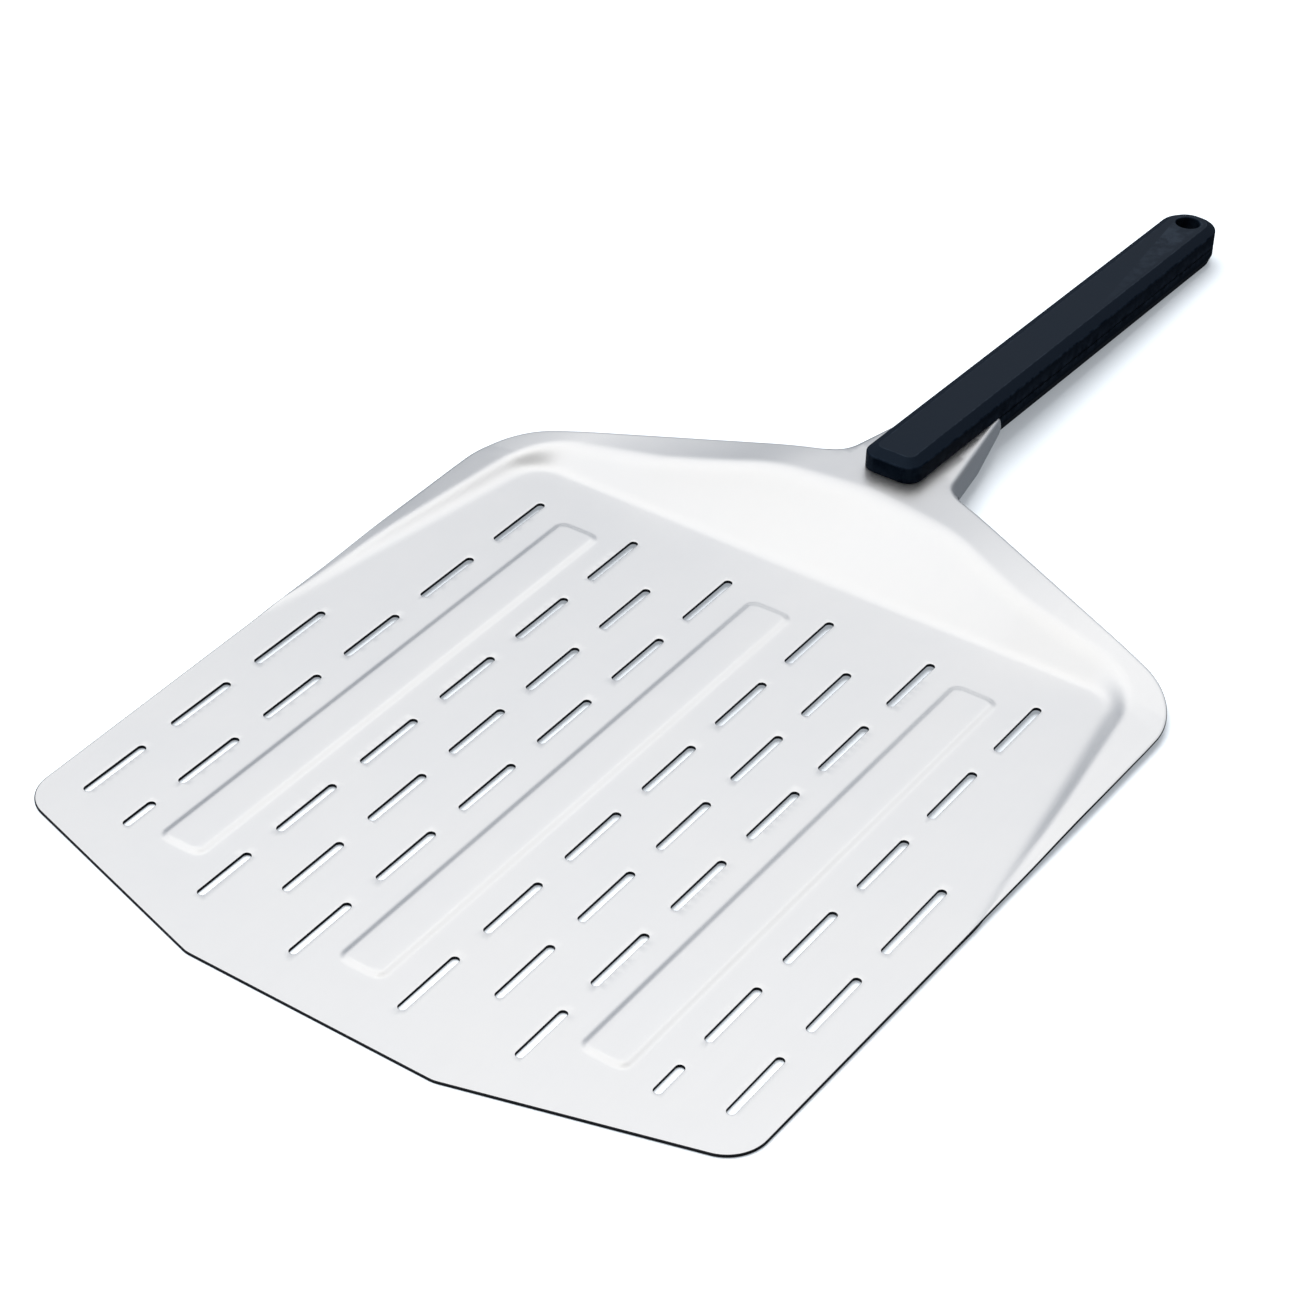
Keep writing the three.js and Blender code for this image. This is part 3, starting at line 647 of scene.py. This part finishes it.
def upper_shell():
    """A cap with a chamfer round its top and pockets between the bosses for its inserts."""
    corners = [
        (LIP, GROOVE, 0),
        (0, GROOVE, 0.25),
        (0, HANDLE_TOP - TOP_CHAMFER, 0.9),
        (TOP_INSET, HANDLE_TOP, 0.9),
        (TOP_INSET + 1.2, HANDLE_TOP, 0),
    ]
    loops = []
    for inset, z in profile_points(corners):
        share = inset / TOP_INSET
        corner = FRONT_CORNER + (TOP_CORNER - FRONT_CORNER) * share
        loops.append(
            capsule(HANDLE_HALF_WIDTH - inset, TOP_FRONT_INSET * share, max(corner, 1.0), z)
        )
    shell = lofted("handle_upper", loops, HANDLE_FRAME)
    cutters = [hang_hole_cutter()]
    room = BOSS_RADIUS + 1
    starts = [POCKETS_START, *(station + room for station in SCREW_STATIONS)]
    ends = [*(station - room for station in SCREW_STATIONS), POCKETS_END]
    for low_y, high_y in zip(starts, ends):
        outline = box_outline(POCKET_HALF_WIDTH, low_y, high_y, POCKET_CORNER)
        cutters.append(prism("pocket", outline, -1, POCKET_TOP))
    for station in SCREW_STATIONS:
        cutters.append(bore_cutter(INSERT_BORE_RADIUS, station, -1, INSERT_BORE_TOP))
    combine(shell, cutters, "DIFFERENCE")
    finish_shell(shell)
    return shell


def turned_cutter(levels, y, sides=BORE_SIDES):
    """A turned solid about the upright line at y, through (height, radius) levels."""
    turns = [2 * math.pi * n / sides for n in range(sides)]
    loops = [
        [(radius * math.cos(a), y + radius * math.sin(a), z) for a in turns] for z, radius in levels
    ]
    return lofted("cutter", loops, HANDLE_FRAME)


def bore_cutter(radius, y, low, high):
    return turned_cutter([(low, radius), (high, radius)], y)


def eased_mouth(face, up, radius, ease):
    """The levels from inside a bore to its mouth at the height face, rounded by ease; up is
    1 for a mouth that opens upwards and -1 for one that opens downwards."""
    levels = []
    for n in range(5):
        a = math.radians(90 * n / 4)
        levels.append((face - up * ease * (1 - math.sin(a)), radius + ease * (1 - math.cos(a))))
    return [*levels, (face + up, radius + ease)]


def hang_hole_cutter():
    below = eased_mouth(HANDLE_BOTTOM, -1, HANG_HOLE_RADIUS, 0.6)
    above = eased_mouth(HANDLE_TOP, 1, HANG_HOLE_RADIUS, 0.6)
    return turned_cutter([*reversed(below), *above], HANG_HOLE_Y, HANG_HOLE_SIDES)


def counterbore_cutter(station):
    mouth = eased_mouth(HANDLE_BOTTOM, -1, COUNTERBORE_RADIUS, 0.4)
    return turned_cutter([*reversed(mouth), (HEAD_SEAT + PIECE_GAP, COUNTERBORE_RADIUS)], station)


def lower_shell():
    """A tray that starts behind the tang's skirts, with a nose between them."""
    front = SKIRT_END + SHELL_FRONT_GAP
    corners = [
        (LIP, -GROOVE, 0),
        (0, -GROOVE, 0.25),
        (0, LOWER_WALL_BOTTOM, 1.2),
        (BOTTOM_INSET, HANDLE_BOTTOM, 1.4),
        (BOTTOM_INSET + 2.5, HANDLE_BOTTOM, 0),
    ]
    loops = []
    for inset, z in profile_points(corners):
        loops.append(capsule(HANDLE_HALF_WIDTH - inset, front + 0.3 * inset, 0.8, z))
    shell = lofted("handle_lower", loops, HANDLE_FRAME)
    nose_loops = []
    nose_corners = [
        (1.0, NOSE_TOP, 0),
        (0, NOSE_TOP, 0.3),
        (1.2, HANDLE_BOTTOM, 1.4),
        (4, HANDLE_BOTTOM, 0),
    ]
    nose_end = front + 4  # inside the rest of the shell, which the nose is joined to
    for inset, z in profile_points(nose_corners):
        half = NOSE_HALF_WIDTH - inset
        outline = rounded(
            [
                (-half, NOSE_START + inset, NOSE_CORNER),
                (half, NOSE_START + inset, NOSE_CORNER),
                (half, nose_end, 0.5),
                (-half, nose_end, 0.5),
            ],
            0.6,
        )
        nose_loops.append([(x, y, z) for x, y in outline])
    nose = lofted("nose", nose_loops, HANDLE_FRAME)
    combine(shell, [nose], "UNION")
    recess = box_outline(
        TAIL_HALF_WIDTH + PIECE_GAP, RECESS_START, TAIL_END + PIECE_GAP, TAIL_END_RADIUS
    )
    cutters = [prism("recess", recess, NOSE_TOP, 1), hang_hole_cutter()]
    for station in SCREW_STATIONS:
        cutters.append(bore_cutter(CLEARANCE_BORE_RADIUS, station, HANDLE_BOTTOM - 1, 1))
        cutters.append(counterbore_cutter(station))
    combine(shell, cutters, "DIFFERENCE")
    finish_shell(shell)
    return shell


# ---- Screws --------------------------------------------------------------------------


def screw_rings():
    """Rings of (height, function of angle giving radius) from the socket's floor to the tip."""

    def round_ring(z, radius):
        return z, lambda a: radius

    def hexagon(z, radius):
        apothem = radius * math.cos(math.pi / 6)
        return z, lambda a: apothem / math.cos((a % (math.pi / 3)) - math.pi / 6)

    top = -HEAD_HEIGHT
    rings = [
        round_ring(top + DRILL_DEPTH, 0.05),
        round_ring(top + SOCKET_DEPTH + 0.05, DRILL_RADIUS),
        hexagon(top + SOCKET_DEPTH, SOCKET_RADIUS),
        hexagon(top + SOCKET_BEVEL_DEPTH, SOCKET_RADIUS),
        hexagon(top, SOCKET_RADIUS + SOCKET_BEVEL),
    ]
    for n in range(7):
        a = math.radians(15 * n)
        radius = HEAD_RADIUS - HEAD_EASE * (1 - math.sin(a))
        rings.append(round_ring(top + HEAD_EASE * (1 - math.cos(a)), radius))
    rings += [
        round_ring(-0.15, HEAD_RADIUS),
        round_ring(0, HEAD_RADIUS - 0.15),
        round_ring(0, SHANK_RADIUS + 0.25),
    ]
    steps = round((THREAD_END - THREAD_START) / THREAD_PITCH * THREAD_RINGS)
    for n in range(steps + 1):
        z = THREAD_START + (THREAD_END - THREAD_START) * n / steps
        fade = min(1.0, n / (1.5 * THREAD_RINGS), (steps - n) / THREAD_RINGS)

        def thread(a, z=z, fade=fade):
            phase = (z / THREAD_PITCH + a / (2 * math.pi)) % 1.0
            return SHANK_RADIUS - THREAD_DEPTH * fade * abs(2 * phase - 1)

        rings.append((z, thread))
    rings.append(round_ring(SHANK_LENGTH - 0.5, SHANK_RADIUS - 0.1))
    rings.append(round_ring(SHANK_LENGTH, SHANK_RADIUS - 0.7))
    return rings


def screw_loops():
    turns = [2 * math.pi * n / SCREW_SIDES for n in range(SCREW_SIDES)]
    loops = []
    for z, radius in screw_rings():
        loops.append([(radius(a) * math.cos(a), radius(a) * math.sin(a), z) for a in turns])
    return loops


# ---- Materials -----------------------------------------------------------------------


class Nodes:
    """A material's node tree, and short ways to add to it."""

    def __init__(self, name):
        self.material = bpy.data.materials.new(name)
        self.material.use_nodes = True
        self.tree = self.material.node_tree
        self.shader = self.tree.nodes["Principled BSDF"]
        self.place = self.tree.nodes.new("ShaderNodeTexCoord").outputs["Object"]

    def link(self, source, target):
        self.tree.links.new(source, target)

    def noise(self, scale, detail=3.0, roughness=0.5, stretch=(1, 1, 1)):
        mapping = self.tree.nodes.new("ShaderNodeMapping")
        mapping.inputs["Scale"].default_value = stretch
        self.link(self.place, mapping.inputs["Vector"])
        node = self.tree.nodes.new("ShaderNodeTexNoise")
        node.inputs["Scale"].default_value = scale
        node.inputs["Detail"].default_value = detail
        node.inputs["Roughness"].default_value = roughness
        self.link(mapping.outputs["Vector"], node.inputs["Vector"])
        return node.outputs["Fac"]

    def ranged(self, source, low, high, from_low=0.0, from_high=1.0):
        node = self.tree.nodes.new("ShaderNodeMapRange")
        node.inputs["From Min"].default_value = from_low
        node.inputs["From Max"].default_value = from_high
        node.inputs["To Min"].default_value = low
        node.inputs["To Max"].default_value = high
        self.link(source, node.inputs["Value"])
        return node.outputs["Result"]

    def math(self, operation, a, b):
        node = self.tree.nodes.new("ShaderNodeMath")
        node.operation = operation
        for socket, value in zip(node.inputs, (a, b)):
            if isinstance(value, (int, float)):
                socket.default_value = value
            else:
                self.link(value, socket)
        return node.outputs["Value"]

    def mixed(self, factor, a, b):
        node = self.tree.nodes.new("ShaderNodeMix")
        node.data_type = "RGBA"
        self.link(factor, node.inputs["Factor"])
        for socket, value in ((node.inputs["A"], a), (node.inputs["B"], b)):
            if isinstance(value, tuple):
                socket.default_value = (*value, 1)
            else:
                self.link(value, socket)
        return node.outputs["Result"]

    def attribute(self, name):
        node = self.tree.nodes.new("ShaderNodeAttribute")
        node.attribute_name = name
        return node.outputs["Fac"]

    def bump(self, height, strength, distance):
        node = self.tree.nodes.new("ShaderNodeBump")
        node.inputs["Strength"].default_value = strength
        node.inputs["Distance"].default_value = distance
        self.link(height, node.inputs["Height"])
        self.link(node.outputs["Normal"], self.shader.inputs["Normal"])


def satin_aluminium():
    """Fine-grained satin sheet, rolled along the blade, faintly smudged by handling."""
    n = Nodes("satin_aluminium")
    n.shader.inputs["Metallic"].default_value = 0.97
    rolled = n.noise(900, 2, 0.6, (1, 0.02, 1))
    grain = n.noise(3200, 2, 0.6)
    smudge = n.noise(16, 4, 0.6)
    mottle = n.noise(70, 3, 0.5)
    colour = n.mixed(
        n.ranged(smudge, 0, 1, 0.35, 0.7), (0.82, 0.828, 0.84), (0.86, 0.864, 0.87)
    )
    n.link(colour, n.shader.inputs["Base Color"])
    worn = n.math("ADD", n.ranged(smudge, -0.03, 0.03, 0.3, 0.7), n.ranged(mottle, -0.015, 0.015))
    rough = n.math("ADD", worn, n.ranged(rolled, 0.33, 0.39))
    n.link(rough, n.shader.inputs["Roughness"])
    relief = n.math("ADD", n.math("MULTIPLY", grain, 0.6), n.math("MULTIPLY", rolled, 0.5))
    n.bump(relief, 0.10, 0.00004)
    return n.material


def shaded_cut_edge():
    """The sheet's sheared and laser-cut edges and its slot walls, painted near-black, far darker
    than its faces: a painted shade over a rougher, streaked cut finish.
    """
    n = Nodes("cut_aluminium_edge_painted_shade")
    n.shader.inputs["Metallic"].default_value = 1.0
    streaks = n.noise(1400, 3, 0.6, (1, 1, 0.1))
    # near-black colours on the edges: painted shade
    colour = n.mixed(streaks, (0.02, 0.022, 0.026), (0.07, 0.073, 0.08))
    n.link(colour, n.shader.inputs["Base Color"])
    n.link(n.ranged(streaks, 0.42, 0.6), n.shader.inputs["Roughness"])
    n.bump(streaks, 0.3, 0.00005)
    return n.material


def moulded_nylon():
    """Dark blue-grey filled nylon with a fine spark-eroded grain, lighter at its edges: partly
    rubbed, partly a painted highlight.
    """
    n = Nodes("moulded_nylon")
    n.shader.inputs["Specular Tint"].default_value = (0.62, 0.85, 1.1, 1)
    # Reflection strength rises only where the surface faces up, so the sides reflect almost
    # nothing: a painted shade on the handle's sides.
    normal = n.tree.nodes.new("ShaderNodeNewGeometry").outputs["Normal"]
    facing = n.tree.nodes.new("ShaderNodeSeparateXYZ")
    n.link(normal, facing.inputs["Vector"])
    gloss_shaded_at_sides = n.ranged(facing.outputs["Z"], 0.01, 0.16, 0.8, 1.0)
    n.link(gloss_shaded_at_sides, n.shader.inputs["Specular IOR Level"])
    grain = n.noise(2600, 3, 0.65)
    cloud = n.noise(28, 4, 0.55)
    patches = n.ranged(n.noise(240, 3, 0.6), 0, 1, 0.38, 0.62)
    # Lighter along the convex edges: partly rubbing, partly a painted highlight.
    rub_and_highlight = n.math("MULTIPLY", n.attribute("wear_and_highlight"), patches)
    colour = n.mixed(cloud, (0.0016, 0.0036, 0.0078), (0.0024, 0.0050, 0.0100))
    worn = n.mixed(n.math("MULTIPLY", rub_and_highlight, 0.35), colour, (0.018, 0.027, 0.042))
    n.link(worn, n.shader.inputs["Base Color"])
    rough = n.math("ADD", n.ranged(cloud, 0.44, 0.54), n.ranged(grain, -0.04, 0.04))
    n.link(n.math("SUBTRACT", rough, n.math("MULTIPLY", rub_and_highlight, 0.08)), n.shader.inputs["Roughness"])
    n.bump(n.math("ADD", grain, n.math("MULTIPLY", cloud, 0.15)), 0.25, 0.00008)
    return n.material


def turned_metal(name, dark, light, roughness):
    """Turned and plated metal: fine rings about its axis, with light handling marks."""
    n = Nodes(name)
    n.shader.inputs["Metallic"].default_value = 1.0
    rings = n.noise(1500, 2, 0.5, (0.15, 0.15, 1))
    stain = n.noise(260, 4, 0.6)
    n.link(n.mixed(stain, dark, light), n.shader.inputs["Base Color"])
    stained = n.ranged(stain, roughness - 0.06, roughness + 0.06)
    rough = n.math("ADD", stained, n.ranged(rings, -0.04, 0.04))
    n.link(rough, n.shader.inputs["Roughness"])
    n.bump(rings, 0.15, 0.00004)
    return n.material


def floor_material():
    """A matt floor that glows a little, so that the peel's shadow on it stays pale."""
    n = Nodes("pale_floor")
    n.shader.inputs["Base Color"].default_value = (0.54, 0.58, 0.625, 1)
    n.shader.inputs["Roughness"].default_value = 0.9
    n.shader.inputs["Specular IOR Level"].default_value = 0.0
    n.shader.inputs["Emission Color"].default_value = (0.88, 0.94, 1.0, 1)
    n.shader.inputs["Emission Strength"].default_value = 0.3
    return n.material


# ---- The pieces ----------------------------------------------------------------------


def coat(obj, *materials):
    """Give obj these materials in place of any that it has."""
    obj.data.materials.clear()
    for material in materials:
        obj.data.materials.append(material)


vertices, faces, cut = blade_mesh()
peel_blade = mesh_object("peel_blade", vertices, faces, BLADE_FRAME)
shade_smooth(peel_blade.data)
# The cut faces take the second material, whose near-black colour is a painted shade on the sheet's
# edges and slot walls.
coat(peel_blade, satin_aluminium(), shaded_cut_edge())
peel_blade.data.polygons.foreach_set("material_index", cut)
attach(peel_blade, "root")
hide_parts("blade")

nylon = moulded_nylon()
for shell, node in ((upper_shell(), "handle_upper_shell"), (lower_shell(), "handle_lower_shell")):
    coat(shell, nylon)
    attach(shell, "root")
    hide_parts(node)

steel = turned_metal("plated_steel", (0.42, 0.43, 0.45), (0.52, 0.53, 0.55), 0.32)
for i, station in enumerate(SCREW_STATIONS):
    where = HANDLE_FRAME @ Matrix.Translation((0, station, HEAD_SEAT))
    fastener = lofted(f"socket_screw_{i + 1}", screw_loops(), where, math.radians(35))
    coat(fastener, steel)
    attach(fastener, "root")
    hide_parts(f"handle_screw_{i + 1}")

brass = turned_metal("turned_brass", (0.55, 0.40, 0.17), (0.66, 0.49, 0.22), 0.36)
for name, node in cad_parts.items():
    if name.startswith("threaded_insert"):
        coat(node, brass)

# ---- Studio --------------------------------------------------------------------------

FLOOR_REACH = 6.0

scene = bpy.context.scene
scene.view_settings.view_transform = "Standard"

square = [(-1, -1, 0), (1, -1, 0), (1, 1, 0), (-1, 1, 0)]
floor = mesh_object("floor", square, [(0, 1, 2, 3)], Matrix.Scale(FLOOR_REACH, 4))
floor.location.z = cad_low.z
coat(floor, floor_material())


def studio_world():
    """A white studio: bright overhead, dark near the ground, and dimmer to the right of the
    peel than to its left."""
    world = bpy.data.worlds.new("studio")
    world.use_nodes = True
    tree = world.node_tree
    sky = tree.nodes["Background"]
    place = tree.nodes.new("ShaderNodeTexCoord").outputs["Generated"]
    split = tree.nodes.new("ShaderNodeSeparateXYZ")
    tree.links.new(place, split.inputs["Vector"])
    height = tree.nodes.new("ShaderNodeMapRange")
    height.inputs["From Min"].default_value = -1
    tree.links.new(split.outputs["Z"], height.inputs["Value"])
    ramp = tree.nodes.new("ShaderNodeValToRGB")
    stops = [  # from straight down at 0, through the horizon at 0.5, to straight up at 1
        (0.46, (0.13, 0.145, 0.165)),
        (0.50, (0.11, 0.12, 0.14)),
        (0.56, (0.18, 0.195, 0.22)),
        (0.64, (0.24, 0.27, 0.31)),
        (0.72, (0.47, 0.485, 0.51)),
        (0.79, (0.665, 0.675, 0.70)),
        (0.83, (0.95, 0.95, 0.955)),
        (1.0, (0.97, 0.96, 0.94)),
    ]
    while len(ramp.color_ramp.elements) < len(stops):
        ramp.color_ramp.elements.new(0.5)
    for element, (position, colour) in zip(ramp.color_ramp.elements, stops):
        element.position = position
        element.color = (*colour, 1)
    tree.links.new(height.outputs["Result"], ramp.inputs["Fac"])
    beside = tree.nodes.new("ShaderNodeVectorMath")
    beside.operation = "DOT_PRODUCT"
    beside.inputs[1].default_value = (1.0, -0.35, 0.35)
    tree.links.new(place, beside.inputs[0])
    dimmer = tree.nodes.new("ShaderNodeMapRange")
    dimmer.interpolation_type = "SMOOTHSTEP"
    dimmer.inputs["From Min"].default_value = 0.22
    dimmer.inputs["From Max"].default_value = 0.55
    dimmer.inputs["To Min"].default_value = 1.23
    dimmer.inputs["To Max"].default_value = 0.45
    tree.links.new(beside.outputs["Value"], dimmer.inputs["Value"])
    tree.links.new(ramp.outputs["Color"], sky.inputs["Color"])
    tree.links.new(dimmer.outputs["Result"], sky.inputs["Strength"])
    scene.world = world


studio_world()
key_light = bpy.data.lights.new("key", "SUN")
key_light.energy = 4.2
key_light.angle = math.radians(60)
key_light.color = (1.0, 0.985, 0.96)
key = bpy.data.objects.new("key", key_light)
key.rotation_euler = Vector((0.35, -0.1, -0.93)).to_track_quat("-Z", "Y").to_euler()
scene.collection.objects.link(key)
for unseen in (key, floor):  # so that the peel reflects the studio alone
    unseen.visible_glossy = False

camera = bpy.data.cameras.new("camera")
camera.sensor_width = 36
camera.lens = 90.38
camera.clip_end = 30
camera_object = bpy.data.objects.new("camera", camera)
camera_object.location = (0.51828, -0.85829, 0.70736)
camera_object.rotation_euler = Euler(
    (math.radians(53.317), math.radians(-0.5531), math.radians(35.2317)), "XYZ"
)
scene.collection.objects.link(camera_object)
scene.camera = camera_object
